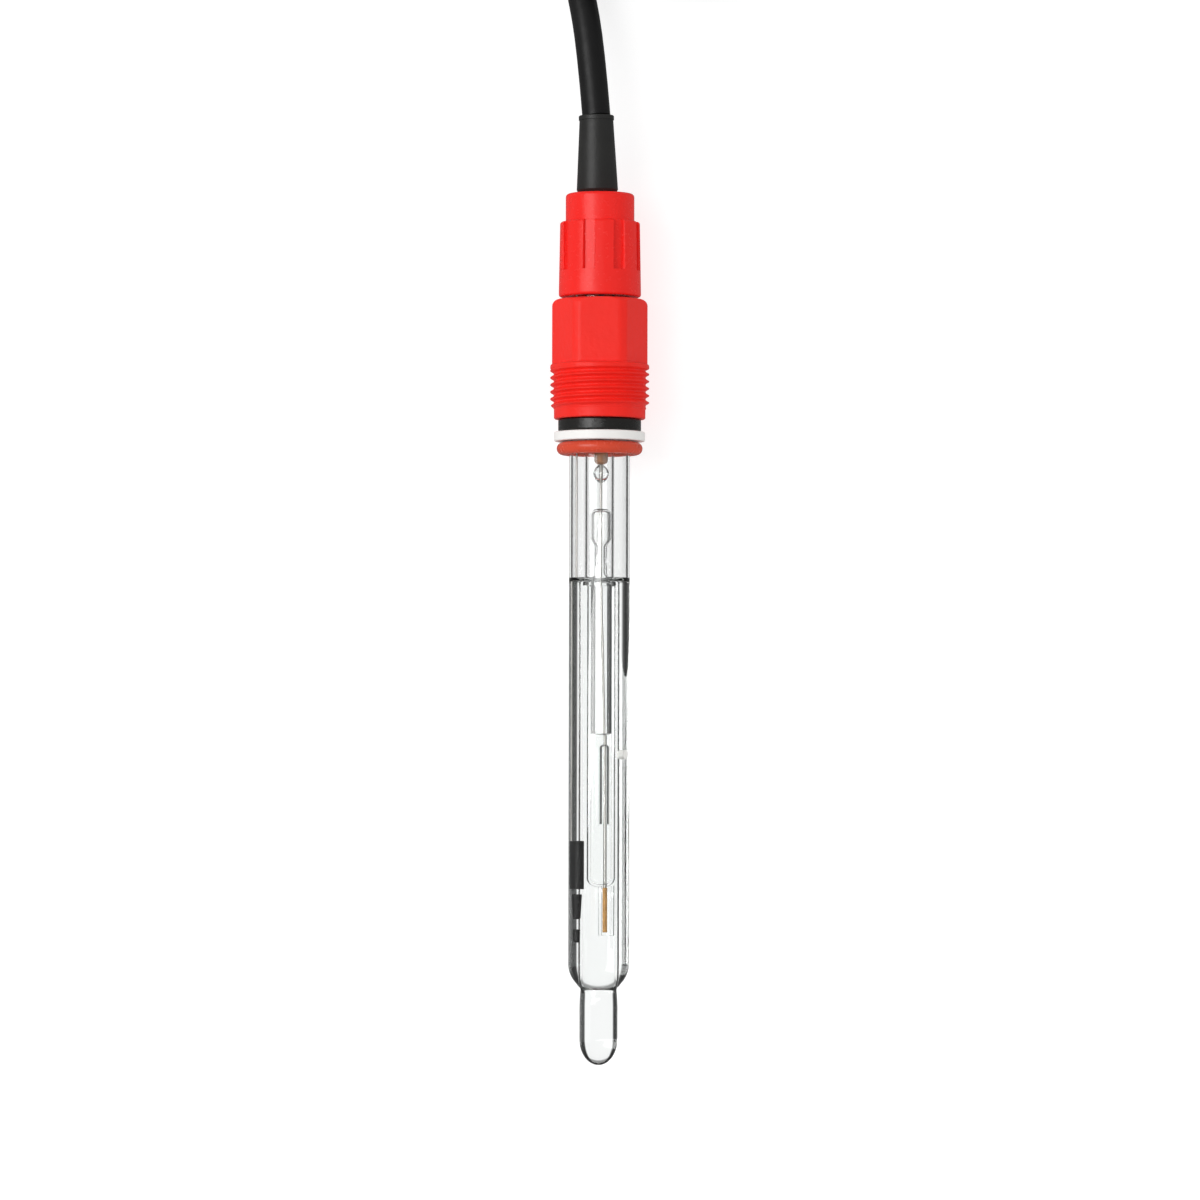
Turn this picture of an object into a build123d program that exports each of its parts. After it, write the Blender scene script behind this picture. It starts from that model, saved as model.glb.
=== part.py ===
from build123d import *

import os
from math import atan2, cos, degrees, radians, sin, tan

# A combination pH electrode with a fixed cable. Nothing holds it up, so it lies on its side, on the
# lower edge of its thread and on the end of its glass shaft, with the bulb a little lower than the cap.
# Sizes are in millimetres and degrees. Heights run along the electrode's own axis, from the sealing face
# under the thread (0), positive towards the cable. A radial place is (sideways, upwards) from that axis.

os.makedirs("parts", exist_ok=True)

# Threaded gland
thread_d = 19.6
thread_len = 8.9
pilot_d = 18.1
pilot_len = 1.8
hex_flats = 17.0
hex_corner_d = 18.9
hex_len = 13.0
hex_round = 1.3
gland_play = 0.06
gland_end_play = 0.1

# Cap
cap_gap = 0.5
grip_low_d = 16.3
grip_top_d = 15.8
grip_len = 14.9
grip_round = 0.5
crown_step = 1.1
crown_len = 5.6
crown_round = 0.7
crown_roof = 1.6
socket_len = 8.0
crown_wall = 1.3
groove_count = 8
groove_turn = -15.9
groove_len = 9.8
groove_depth = 0.75
slot_width = 2.1
lip_width = 3.3
lip_depth = 0.35

# Rings under the gland
collar_d = 16.4
collar_len = 2.35
collar_round = 0.3
washer_d = 18.0
washer_len = 1.8
washer_play = 0.15
washer_gap = 0.15
seal_section = 2.5
seal_gap = 0.2

# Strain relief and cable
boot_len = 15.6
boot_base_d = 8.2
boot_tip_d = 6.7
boot_lip_d = 7.0
boot_lip_len = 0.9
boot_neck_d = 6.8
boot_flange_d = 9.4
boot_flange_len = 1.5
boot_shift = 0.53
boot_lean = 0.9
cable_d = 5.6
cable_grip = 4.0

# Glass shaft, neck and bulb
shaft_d = 12.0
shaft_wall = 0.65
shaft_reach = 109.7
shoulder_slope = 42.0
shoulder_round = 5.7
neck_d = 7.1
neck_len = 0.5
neck_round = 0.8
bulb_d = 7.5
bulb_step = 0.8
bulb_step_d = 7.3
bulb_flare = 3.0
bulb_straight = 6.5
bulb_dome = 5.1
dome_bow = 0.552
membrane_wall = 0.45

# Stem and what it holds
stem_d = 6.0
stem_wall = 0.5
stem_top = 34.0
stem_plug_len = 6.0
buffer_top = -33.4
element_d = 4.15
element_wall = 0.55
element_shift = 0.3
element_top = -17.8
crown_h = 6.0
waist_d = 2.4
waist_len = 5.6
waist_slope = 1.3
element_len = 74.7
element_end_round = 1.8
fill_rise = 30.0
fill_len = 15.0
capillary_d = 1.7
capillary_wall = 0.2
capillary_shift = 0.78
capillary_rise = 28.3
capillary_len = 16.2
tip_tube_d = 2.3
tip_tube_wall = 0.45
tip_tube_shift = 1.12
tip_tube_len = 9.5
wire_d = 0.5
wire_shift = 0.9
wire_clear = 0.05
wire_jog_rise = 57.7
wire_jog_len = 25.0
wire_jog_r = 60.0
chloride_wall = 0.1
bead_d = 3.2
bead_top = -9.2
bead_len = 3.3
splice_d = 2.7
splice_top = -5.6
splice_len = 3.4
lead_d = 1.2

# Reference side
gel_top = -32.2
film = 0.02
plug_play = 0.075
plug_turn = 192.7
plug_spread = 18.5
plug_above_end = 26.3
plug_len = 9.5
plug_round = 0.2
pellet_place = (-3.75, 1.75)
pellets = ((1.0, 4.9, 2.0, 1.5), (2.0, 2.6, 1.4, 1.3))
reference_wire_d = 0.4
reference_wire_place = (-4.5, 0.35)
junction_d = 1.85
junction_rise = 43.3
junction_turn = 62.0
junction_len = 2.0

# Put-away hank of the cable and its ties: long turns in columns and layers, and where its left side starts
hank_bend_r = 23.2
hank_run = 74.0
hank_columns = 3
hank_layers = 4
hank_start = (-8.95, 114.0)
tie_width = 4.0
tie_wall = 1.0
tie_clear = 0.05
tie_places = (-15.0, 15.0)

# Bayonet plug, and how far and how much aside it lies from the end of the cable's bend
plug_run = 12.0
plug_swing = 14.0
ring_d = 14.4
ring_len = 13.0
ring_bore_d = 9.8
ring_lip_len = 1.6
ring_play = 0.06
flute_count = 20
flute_d = 1.3
flute_len = 5.0
slot_d = 2.4
slot_run = 4.6
slot_twist = 38.0
barrel_d = 9.2
barrel_len = 9.0
flange_d = 11.6
flange_len = 1.6
sleeve_d = 8.1
sleeve_wall = 0.45
nut_flats = 10.0
nut_len = 4.5
insulator_d = 5.0
insulator_len = 7.5
pin_d = 1.35
pin_len = 4.0
plug_boot_len = 16.0
plug_boot_d = 8.0
plug_boot_tip_d = 6.8

# How the electrode lies
thread_r = thread_d / 2
shaft_r = shaft_d / 2
shaft_straight = shaft_reach - shoulder_round * tan(radians(shoulder_slope / 2))
lean = atan2(thread_r - shaft_r, pilot_len + shaft_straight)
along = Vector(0, cos(lean), sin(lean))
floor_z = pilot_len * sin(lean) - thread_r * cos(lean)

# Heights that follow from the sizes above
thread_top = pilot_len + thread_len
gland_top = thread_top + hex_len
cap_base = gland_top + cap_gap
grip_top = cap_base + grip_len
cap_top = grip_top + crown_len
chamber_base = cap_base + socket_len
chamber_top = cap_top - crown_roof
collar_top = -gland_end_play
collar_base = collar_top - collar_len
washer_top = collar_base - washer_gap
washer_base = washer_top - washer_len
cone_end = -shaft_reach - (shaft_r - neck_d / 2) / tan(radians(shoulder_slope))
seam = cone_end - neck_len
bulb_start = seam - bulb_flare
dome_start = bulb_start - bulb_straight
element_base = element_top - element_len
fill_top = element_base + fill_rise
capillary_top = element_base + capillary_rise
junction_h = -shaft_reach + junction_rise
plug_top = -shaft_reach + plug_above_end
plug_base = plug_top - plug_len
crown_d = grip_top_d - 2 * crown_step
chamber_d = crown_d - 2 * crown_wall
tube_top = chamber_base
stem_r = stem_d / 2
stem_bore = stem_r - stem_wall


def lathe(start, heading):
    """Plane whose Y runs along a heading, and whose X is a level radius from it."""
    upright = Vector(*heading).normalized()
    level = Vector(upright.Y, -upright.X, 0).normalized()
    return Plane(start, x_dir=level, z_dir=level.cross(upright))


def section(place, height):
    """Plane across a lathe's axis, at a height along it."""
    return Plane(place.origin + place.y_dir * height, x_dir=place.x_dir, z_dir=place.y_dir)


def turned(place, *corners, mode=Mode.ADD):
    """Turns a closed outline about a lathe's axis. Each corner is (radius, height) or (radius, height, round)."""
    with BuildSketch(place) as outline:
        with BuildLine():
            FilletPolyline(
                *[corner[:2] for corner in corners],
                radius=[corner[2] if len(corner) == 3 else 0 for corner in corners],
                close=True,
            )
        make_face()
    revolve(outline.sketch, axis=Axis(place.origin, place.y_dir), mode=mode)


def rod(place, radius, top, base, mode=Mode.ADD):
    """Plain round rod between two heights on a lathe's axis."""
    turned(place, (0, top), (radius, top), (radius, base), (0, base), mode=mode)


def sleeve(place, outer, inner, top, base, mode=Mode.ADD):
    """Plain tube between two heights on a lathe's axis."""
    turned(place, (inner, top), (outer, top), (outer, base), (inner, base), mode=mode)


def finish(piece, name):
    """Labels a finished piece and writes it."""
    piece.part.label = name
    export_step(piece.part, f"parts/{name}.step")


def beside(offset):
    """Lathe parallel to the electrode's axis, at a place (sideways, upwards) from it."""
    upwards = Vector(0, -sin(lean), cos(lean))
    return lathe(Vector(offset[0], 0, 0) + upwards * offset[1], along)


cell = lathe((0, 0, 0), along)
element = beside((element_shift, 0))
wire_line = beside((wire_shift, 0))
capillary_line = beside((capillary_shift, 0))
tip_line = beside((tip_tube_shift, 0))
pellet_line = beside(pellet_place)
reference_line = beside(reference_wire_place)


# Threaded gland: a hexagon turned round at its corners, over a thread and a plain pilot
with BuildPart() as hex_gland:
    with BuildSketch(section(cell, thread_top)):
        RegularPolygon(hex_flats / 2, 6, major_radius=False)
    extrude(amount=hex_len)
    turned(
        cell,
        (0, gland_top),
        (hex_corner_d / 2, gland_top, hex_round),
        (hex_corner_d / 2, thread_top),
        (0, thread_top),
        mode=Mode.INTERSECT,
    )
    rod(cell, thread_r, thread_top, pilot_len)
    rod(cell, pilot_d / 2, pilot_len, 0)
    rod(cell, shaft_r + gland_play, gland_top, 0, mode=Mode.SUBTRACT)
finish(hex_gland, "hex_gland")

# Rings under the gland: the collar that keeps it on the shaft, the slip washer and the seal
with BuildPart() as collar_ring:
    turned(
        cell,
        (shaft_r, collar_top),
        (collar_d / 2, collar_top, collar_round),
        (collar_d / 2, collar_base, collar_round),
        (shaft_r, collar_base),
    )
finish(collar_ring, "collar_ring")

with BuildPart() as thrust_washer:
    sleeve(cell, washer_d / 2, shaft_r + washer_play, washer_top, washer_base)
    chamfer(thrust_washer.edges(), washer_play)
finish(thrust_washer, "thrust_washer")

with BuildPart() as seal_ring:
    seal_r = seal_section / 2
    with BuildSketch(cell):
        with Locations((shaft_r + seal_r, washer_base - seal_gap - seal_r)):
            Circle(seal_r)
    revolve(axis=Axis(cell.origin, cell.y_dir))
finish(seal_ring, "seal_ring")


def shaft_corners(inset, end):
    """Outline corners of the shaft's outside, or of a surface set in by inset, down to an end radius."""
    radius = shaft_r - inset
    corner = -shaft_reach + inset * tan(radians(shoulder_slope / 2))
    cone = corner - (radius - end) / tan(radians(shoulder_slope))
    return (radius, corner, shoulder_round - inset), (end, cone)


def bulb_solid(inset, mouth, mode=Mode.ADD):
    """Solid under the bulb's outside, or under a surface set in by inset, with a mouth at the seam."""
    side = bulb_d / 2 - inset
    deep = bulb_dome - inset
    with BuildSketch(cell) as outline:
        with BuildLine():
            Polyline(
                (0, seam),
                (mouth, seam),
                (bulb_step_d / 2 - inset, seam - bulb_step),
                (side, bulb_start),
                (side, dome_start),
            )
            Bezier(
                (side, dome_start),
                (side, dome_start - dome_bow * deep),
                (dome_bow * side, dome_start - deep),
                (0, dome_start - deep),
            )
            Line((0, dome_start - deep), (0, seam))
        make_face()
    revolve(outline.sketch, axis=Axis(cell.origin, cell.y_dir), mode=mode)


def junction_bore(inner, radius, mode):
    """Round pin or hole across the shaft's wall, from an inner radius out, where the ceramic junction sits."""
    turn = radians(junction_turn)
    outward = section(cell, 0).from_local_coords(Vector(sin(turn), -cos(turn), 0)) - cell.origin
    start = cell.origin + cell.y_dir * junction_h + outward * inner
    with BuildSketch(Plane(start, x_dir=cell.y_dir, z_dir=outward)) as round_face:
        Circle(radius)
    extrude(round_face.sketch, amount=shaft_r + shaft_wall - inner, mode=mode)


# Glass shaft, drawn in at its end to the neck, with the hole of the junction
with BuildPart() as outer_tube:
    outer_corner, outer_neck = shaft_corners(0, neck_d / 2)
    inner_corner, inner_neck = shaft_corners(shaft_wall, stem_r)
    turned(
        cell,
        (shaft_r, tube_top),
        outer_corner,
        (*outer_neck, neck_round),
        (neck_d / 2, seam),
        (stem_r, seam),
        inner_neck,
        inner_corner,
        (shaft_r - shaft_wall, tube_top),
    )
    junction_bore(shaft_r - junction_len, junction_d / 2, Mode.SUBTRACT)
finish(outer_tube, "outer_tube")

with BuildPart() as inner_stem:
    sleeve(cell, stem_r, stem_bore, stem_top, seam)
finish(inner_stem, "inner_stem")

with BuildPart() as membrane_bulb:
    bulb_solid(0, neck_d / 2)
    bulb_solid(membrane_wall, stem_bore, mode=Mode.SUBTRACT)
finish(membrane_bulb, "membrane_bulb")

# Ceramic junction, flush with the outside of the shaft
with BuildPart() as junction_pin:
    junction_bore(shaft_r - junction_len, junction_d / 2, Mode.ADD)
    rod(cell, shaft_r, 0, -shaft_reach, mode=Mode.INTERSECT)
finish(junction_pin, "junction_pin")


def element_corners(inset):
    """Corners down the side of the element tube: crown, waist and body, set in by inset."""
    side = element_d / 2 - inset
    waist = waist_d / 2 - inset
    crown_end = element_top - crown_h
    waist_start = crown_end - waist_slope
    waist_end = waist_start - waist_len
    return (
        (side, element_top - inset, 1.2 - inset),
        (side, crown_end, 0.7),
        (waist, waist_start, 0.5),
        (waist, waist_end, 0.5),
        (side, waist_end - waist_slope, 0.7),
        (side, element_base + inset, element_end_round - inset),
    )


def element_envelope(inset, mode=Mode.ADD):
    """Solid form of the element tube's outside, or of its inside."""
    turned(element, (0, element_top - inset), *element_corners(inset), (0, element_base + inset), mode=mode)


# Element tube: blown with a crown, a waist and a round end, around the measuring wire
with BuildPart() as element_tube:
    element_envelope(0)
    element_envelope(element_wall, mode=Mode.SUBTRACT)
    rod(element, wire_d / 2 + wire_clear, element_top, element_top - element_wall, mode=Mode.SUBTRACT)
    rod(wire_line, wire_d / 2 + wire_clear, element_base + 2 * element_wall, element_base, mode=Mode.SUBTRACT)
finish(element_tube, "element_tube")

# Small open tube fused under the element tube
with BuildPart() as tip_tube:
    sleeve(
        tip_line,
        tip_tube_d / 2,
        tip_tube_d / 2 - tip_tube_wall,
        element_base + element_end_round / 2,
        element_base - tip_tube_len,
    )
    element_envelope(0, mode=Mode.SUBTRACT)
finish(tip_tube, "tip_tube")

# Thin tube round the wire in the lower half of the element tube
with BuildPart() as wire_capillary:
    sleeve(
        capillary_line,
        capillary_d / 2,
        capillary_d / 2 - capillary_wall,
        capillary_top,
        capillary_top - capillary_len,
    )
finish(wire_capillary, "wire_capillary")

# Silver measuring wire: down through bead, crown and waist, then aside to the end of the element
wire_end = element_base - tip_tube_len + 0.7
splice_base = splice_top - splice_len
with BuildPart() as silver_wire:
    with BuildLine() as wire_path:
        FilletPolyline(
            *[
                cell.origin + Vector(aside, 0, 0) + along * height
                for aside, height in (
                    (element_shift, splice_base),
                    (element_shift, element_base + wire_jog_rise),
                    (wire_shift, element_base + wire_jog_rise - wire_jog_len),
                    (wire_shift, wire_end),
                )
            ],
            radius=wire_jog_r,
        )
    with BuildSketch(section(element, splice_base)):
        Circle(wire_d / 2)
    sweep()
finish(silver_wire, "silver_wire")

# Silver chloride grown on the end of the wire
with BuildPart() as chloride_layer:
    sleeve(
        wire_line,
        wire_d / 2 + chloride_wall,
        wire_d / 2,
        element_base - chloride_wall,
        wire_end,
    )
finish(chloride_layer, "chloride_layer")

# Liquid that fills the middle of the element tube
with BuildPart() as element_fill:
    element_envelope(element_wall + film)
    fill_base = fill_top - fill_len
    rod(element, element_d, fill_top, fill_base, mode=Mode.INTERSECT)
    rod(capillary_line, capillary_d / 2 + film, capillary_top + film, fill_base, mode=Mode.SUBTRACT)
    rod(wire_line, wire_d / 2 + film, fill_top, fill_base, mode=Mode.SUBTRACT)
finish(element_fill, "element_fill")

# Glass drop on the wire, and the spliced joint of wire and lead above it
with BuildPart() as seal_bead:
    turned(
        element,
        (wire_d / 2, bead_top),
        (bead_d / 2, bead_top - 0.4 * bead_len, 0.7),
        (wire_d / 2, bead_top - bead_len),
    )
finish(seal_bead, "seal_bead")

with BuildPart() as lead_splice:
    turned(
        element,
        (0, splice_top),
        (splice_d / 2, splice_top, 0.6),
        (splice_d / 2, splice_base, 0.9),
        (0, splice_base),
    )
finish(lead_splice, "lead_splice")

with BuildPart() as measuring_lead:
    rod(element, lead_d / 2, stem_top, splice_top)
finish(measuring_lead, "measuring_lead")

# Stopper in the top of the stem
with BuildPart() as stem_plug:
    rod(cell, stem_bore - film, stem_top, stem_top - stem_plug_len)
    rod(element, lead_d / 2, stem_top, stem_top - stem_plug_len, mode=Mode.SUBTRACT)
finish(stem_plug, "stem_plug")

# Buffer in the bulb and in the stem, round the element
with BuildPart() as inner_buffer:
    bulb_solid(membrane_wall + film, stem_bore - film)
    rod(cell, stem_bore - film, buffer_top, seam)
    element_envelope(-film, mode=Mode.SUBTRACT)
    sleeve(
        tip_line,
        tip_tube_d / 2 + film,
        tip_tube_d / 2 - tip_tube_wall - film,
        element_base + element_end_round / 2,
        element_base - tip_tube_len - film,
        mode=Mode.SUBTRACT,
    )
    rod(wire_line, wire_d / 2 + chloride_wall + film, element_base, wire_end - film, mode=Mode.SUBTRACT)
finish(inner_buffer, "inner_buffer")


# Reference side: black plug, two shorter dark pieces under it, and the wire to the cap
def reference_plug_solid(grow, mode=Mode.ADD):
    """Kidney-shaped plug between stem and shaft, let out all round by grow."""
    with BuildSketch(section(cell, plug_top + grow)) as kidney:
        with BuildLine() as middle:
            CenterArc((0, 0), (stem_r + shaft_r - shaft_wall) / 2, plug_turn, plug_spread)
        SlotArc(middle.edge(), shaft_r - shaft_wall - stem_r - 2 * (plug_play - grow))
    extrude(kidney.sketch, amount=-plug_len - 2 * grow, mode=mode)


with BuildPart() as reference_plug:
    reference_plug_solid(0)
    fillet(reference_plug.faces().sort_by(Axis(cell.origin, cell.y_dir))[-1].edges(), plug_round)
finish(reference_plug, "reference_plug")

pellet_places = []
pellet_base = plug_base
for pellet_gap, pellet_len, top_d, base_d in pellets:
    pellet_top = pellet_base - pellet_gap
    pellet_base = pellet_top - pellet_len
    pellet_places.append((pellet_top, pellet_base, top_d / 2, base_d / 2))
with BuildPart() as reference_pellets:
    for pellet_top, pellet_base, top_r, base_r in pellet_places:
        turned(
            pellet_line,
            (0, pellet_top),
            (top_r, pellet_top, 0.15),
            (base_r, pellet_base, 0.3),
            (0, pellet_base),
        )
finish(reference_pellets, "reference_pellets")

with BuildPart() as reference_wire:
    rod(reference_line, reference_wire_d / 2, stem_top, plug_top)
finish(reference_wire, "reference_wire")

# Reference electrolyte between shaft and stem
with BuildPart() as reference_gel:
    gel_corner, gel_neck = shaft_corners(shaft_wall + film, stem_r + film)
    turned(
        cell,
        (stem_r + film, gel_top),
        (shaft_r - shaft_wall - film, gel_top),
        gel_corner,
        gel_neck,
    )
    rod(reference_line, reference_wire_d / 2 + film, gel_top, plug_top, mode=Mode.SUBTRACT)
    reference_plug_solid(film, mode=Mode.SUBTRACT)
    for pellet_top, pellet_base, top_r, base_r in pellet_places:
        turned(
            pellet_line,
            (0, pellet_top + film),
            (top_r + film, pellet_top + film),
            (base_r + film, pellet_base - film),
            (0, pellet_base - film),
            mode=Mode.SUBTRACT,
        )
    junction_bore(shaft_r - junction_len - film, junction_d / 2 + film, Mode.SUBTRACT)
finish(reference_gel, "reference_gel")

# Cap: a turned shell glued on the shaft, with tapered grip grooves open at their top
neck_line = lathe(cell.origin + Vector(-boot_shift, 0, 0) + along * cap_top, along)
boot_line = lathe(
    neck_line.origin,
    Vector(-sin(radians(boot_lean)), 0, 0) + along * cos(radians(boot_lean)),
)
flange_end = -crown_roof - boot_flange_len
with BuildPart() as cap:
    turned(
        cell,
        (0, cap_top),
        (crown_d / 2, cap_top, crown_round),
        (crown_d / 2, grip_top),
        (grip_top_d / 2, grip_top, grip_round),
        (grip_low_d / 2, cap_base, grip_round),
        (0, cap_base),
    )
    slot_floor = grip_top_d / 2 - groove_depth
    lip_floor = grip_top_d / 2 - lip_depth
    reach = grip_low_d / 2 + lip_depth
    with BuildSketch(section(cell, grip_top)):
        with PolarLocations(0, groove_count, start_angle=groove_turn - 90):
            Polygon(
                (slot_floor, -slot_width / 2),
                (lip_floor, -slot_width / 2),
                (reach, -lip_width / 2),
                (reach, lip_width / 2),
                (lip_floor, slot_width / 2),
                (slot_floor, slot_width / 2),
                align=None,
            )
    extrude(amount=-groove_len, mode=Mode.SUBTRACT)
    rod(cell, shaft_r + film, chamber_base, cap_base, mode=Mode.SUBTRACT)
    rod(cell, chamber_d / 2, chamber_top, chamber_base, mode=Mode.SUBTRACT)
    rod(neck_line, boot_neck_d / 2 + film, 1, flange_end, mode=Mode.SUBTRACT)
finish(cap, "cap")

# Strain relief: a tapered boot with a lip at its tip, a little aslant on its neck in the cap's roof
cable_r = cable_d / 2
with BuildPart() as strain_relief:
    lip_start = boot_len - boot_lip_len
    turned(
        boot_line,
        (0, boot_len),
        (boot_lip_d / 2, boot_len, 0.25),
        (boot_lip_d / 2, lip_start),
        (boot_tip_d / 2, lip_start),
        (boot_base_d / 2, 0.8),
        (boot_base_d / 2 - 0.5, 0),
        (boot_base_d / 2 - 0.5, -0.5),
        (0, -0.5),
    )
    rod(neck_line, boot_base_d, film, -1, mode=Mode.SUBTRACT)
    rod(neck_line, boot_neck_d / 2, film, flange_end)
    rod(neck_line, boot_flange_d / 2, -crown_roof - film, flange_end)
    rod(boot_line, cable_r, boot_len, 2 * flange_end, mode=Mode.SUBTRACT)
finish(strain_relief, "strain_relief")

# End of the cable, held in boot and potting
with BuildPart() as cable_end:
    rod(boot_line, cable_r, boot_len, flange_end - cable_grip)
finish(cable_end, "cable_end")

# Potting that fills the cap round the ends of glass, leads and cable
with BuildPart() as potting:
    rod(cell, chamber_d / 2 - film, chamber_top - film, chamber_base + film)
    rod(cell, stem_r + film, stem_top + film, chamber_base, mode=Mode.SUBTRACT)
    rod(reference_line, reference_wire_d / 2 + film, stem_top + film, chamber_base, mode=Mode.SUBTRACT)
    rod(neck_line, boot_flange_d / 2 + film, 0, flange_end - film, mode=Mode.SUBTRACT)
    rod(boot_line, cable_r + film, 0, flange_end - cable_grip - film, mode=Mode.SUBTRACT)
finish(potting, "potting")


# Free cable: out of the boot, down to the surface and into the hank
hank_width = hank_columns * cable_d
hank_height = hank_layers * cable_d
hank_base = floor_z + tie_wall + tie_clear
hank_outer_r = hank_bend_r + cable_r
hank_middle = Vector(hank_start[0] + hank_bend_r, hank_start[1] + hank_run / 2, hank_base)
low_turn_z = hank_base + cable_r
high_turn_z = low_turn_z + hank_height - cable_d
boot_tip = boot_line.origin + boot_line.y_dir * boot_len


def easy_bends(points):
    """Arc radii for a route: each as large as the shorter of its two runs allows."""
    radii = []
    for before, here, after in zip(points, points[1:], points[2:]):
        turn = (here - before).get_angle(after - here)
        shorter = min((here - before).length, (after - here).length)
        radii.append(0.45 * shorter / tan(radians(turn / 2)))
    return radii


def cord_tube(points):
    """Round tube along a route of straight runs joined by easy arcs."""
    radii = easy_bends(points)
    print("arc radii", [round(radius, 1) for radius in radii])
    with BuildLine() as path:
        FilletPolyline(*points, radius=radii)
    with BuildSketch(Plane(points[0], z_dir=points[1] - points[0])) as ring:
        Circle(cable_r)
    sweep(ring.sketch, path=path.line)
    print("route length", round(sum(edge.length for edge in path.edges()), 1))


exit_route = [
    boot_tip,
    Vector(-1.9, 74.0, 1.5),
    Vector(-3.9, 86.0, -2.0),
    Vector(-6.6, 97.0, -5.4),
    Vector(-8.7, 109.0, low_turn_z),
    Vector(hank_start[0], 121.0, low_turn_z),
]
with BuildPart() as cable:
    cord_tube(exit_route)
finish(cable, "cable")

# Hank: the outer shape of its turns, with the ties round it
with BuildPart() as cable_coil:
    with BuildSketch(Plane(hank_middle)):
        SlotCenterToCenter(hank_run, 2 * hank_outer_r, rotation=90)
        SlotCenterToCenter(hank_run, 2 * (hank_outer_r - hank_width), rotation=90, mode=Mode.SUBTRACT)
    extrude(amount=hank_height)
    flat_faces = cable_coil.faces().sort_by(Axis.Z)
    fillet(flat_faces[0].edges() + flat_faces[-1].edges(), cable_r)
finish(cable_coil, "cable_coil")

with BuildPart() as coil_ties:
    for place in tie_places:
        face = Plane(hank_middle + Vector(0, place, hank_height / 2), x_dir=(1, 0, 0), z_dir=(0, -1, 0))
        with BuildSketch(face) as loop:
            for grow, mode in ((tie_clear + tie_wall, Mode.ADD), (tie_clear, Mode.SUBTRACT)):
                RectangleRounded(
                    2 * (hank_outer_r + grow),
                    hank_height + 2 * grow,
                    cable_r + grow,
                    mode=mode,
                )
        extrude(loop.sketch, amount=tie_width / 2, both=True)
finish(coil_ties, "coil_ties")

# End of the cable: straight off the top of the hank, over its far end and down to the plug
rest_z = floor_z + cable_r
tail_route = [
    Vector(hank_start[0], 165.0, high_turn_z),
    Vector(hank_start[0] - 0.1, 181.0, high_turn_z),
    Vector(-10.0, 195.0, high_turn_z - 0.4),
    Vector(-9.8, 206.5, 5.7),
    Vector(-7.6, 218.5, -1.7),
    Vector(-3.4, 230.0, rest_z + 0.7),
]
last_run = tail_route[-1] - tail_route[-2]
plug_flat = Vector(last_run.X, last_run.Y, 0).normalized().rotate(Axis.Z, -plug_swing)
plug_rear_r = plug_boot_tip_d / 2
plug_tilt = atan2(ring_d / 2 - plug_rear_r, plug_boot_len + nut_len + barrel_len - ring_lip_len)
plug_heading = plug_flat * cos(plug_tilt) + Vector(0, 0, sin(plug_tilt))
plug_rear = tail_route[-1] + plug_flat * plug_run
plug_rear.Z = floor_z + plug_rear_r / cos(plug_tilt)
tail_route.append(plug_rear)
with BuildPart() as cable_tail:
    cord_tube(tail_route)
finish(cable_tail, "cable_tail")

# Bayonet plug, lying on its coupling ring and the end of its boot. Heights run from boot to mating face.
bayonet = lathe(plug_rear, plug_heading)
nut_base = plug_boot_len
barrel_base = nut_base + nut_len
flange_base = barrel_base + barrel_len - flange_len
flange_top = flange_base + flange_len
sleeve_top = flange_top + insulator_len
ring_base = flange_base - ring_lip_len - ring_play
ring_top = ring_base + ring_len

with BuildPart() as plug_boot:
    turned(
        bayonet,
        (0, 0),
        (plug_rear_r, 0, 0.4),
        (plug_boot_d / 2, plug_boot_len),
        (0, plug_boot_len),
    )
finish(plug_boot, "plug_boot")

with BuildPart() as plug_body:
    rod(bayonet, barrel_d / 2, flange_top, barrel_base)
    with BuildSketch(section(bayonet, nut_base)):
        RegularPolygon(nut_flats / 2, 6, major_radius=False)
    extrude(amount=nut_len)
    rod(bayonet, flange_d / 2, flange_top, flange_base)
    sleeve(bayonet, sleeve_d / 2, sleeve_d / 2 - sleeve_wall, sleeve_top, flange_top)
finish(plug_body, "plug_body")

with BuildPart() as plug_insulator:
    turned(
        bayonet,
        (0, flange_top),
        (insulator_d / 2, flange_top),
        (insulator_d / 2, sleeve_top - pin_len, 0.3),
        (0, sleeve_top - pin_len),
    )
finish(plug_insulator, "plug_insulator")

with BuildPart() as plug_pin:
    turned(
        bayonet,
        (0, sleeve_top - pin_len),
        (pin_d / 2, sleeve_top - pin_len),
        (pin_d / 2, sleeve_top, 0.4),
        (0, sleeve_top),
    )
finish(plug_pin, "plug_pin")

# Coupling ring: free to turn on the barrel behind the flange, fluted, with two slanting bayonet slots
with BuildPart() as plug_ring:
    turned(
        bayonet,
        (ring_bore_d / 2, ring_top),
        (ring_d / 2, ring_top, 0.5),
        (ring_d / 2, ring_base, 0.8),
        (barrel_d / 2 + ring_play, ring_base),
        (barrel_d / 2 + ring_play, ring_base + ring_lip_len),
        (flange_d / 2 + ring_play, ring_base + ring_lip_len),
        (flange_d / 2 + ring_play, flange_top + ring_play),
        (ring_bore_d / 2, flange_top + ring_play),
    )
    with BuildSketch(section(bayonet, ring_base)):
        with PolarLocations(ring_d / 2 + flute_d / 5, flute_count):
            Circle(flute_d / 2)
    extrude(amount=flute_len, mode=Mode.SUBTRACT)
    slot_h = (flange_top + ring_top) / 2 + ring_play
    for side in (-1, 1):
        outward = bayonet.z_dir * side
        with BuildSketch(
            Plane(bayonet.origin + bayonet.y_dir * slot_h, x_dir=bayonet.y_dir, z_dir=outward)
        ) as slot:
            SlotOverall(slot_run, slot_d, rotation=slot_twist)
        extrude(slot.sketch, amount=ring_d, mode=Mode.SUBTRACT)
finish(plug_ring, "plug_ring")
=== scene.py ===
from math import acos, atan2, cos, degrees, pi, radians, sin, tan

import bmesh
import bpy
from mathutils import Matrix, Vector


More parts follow.
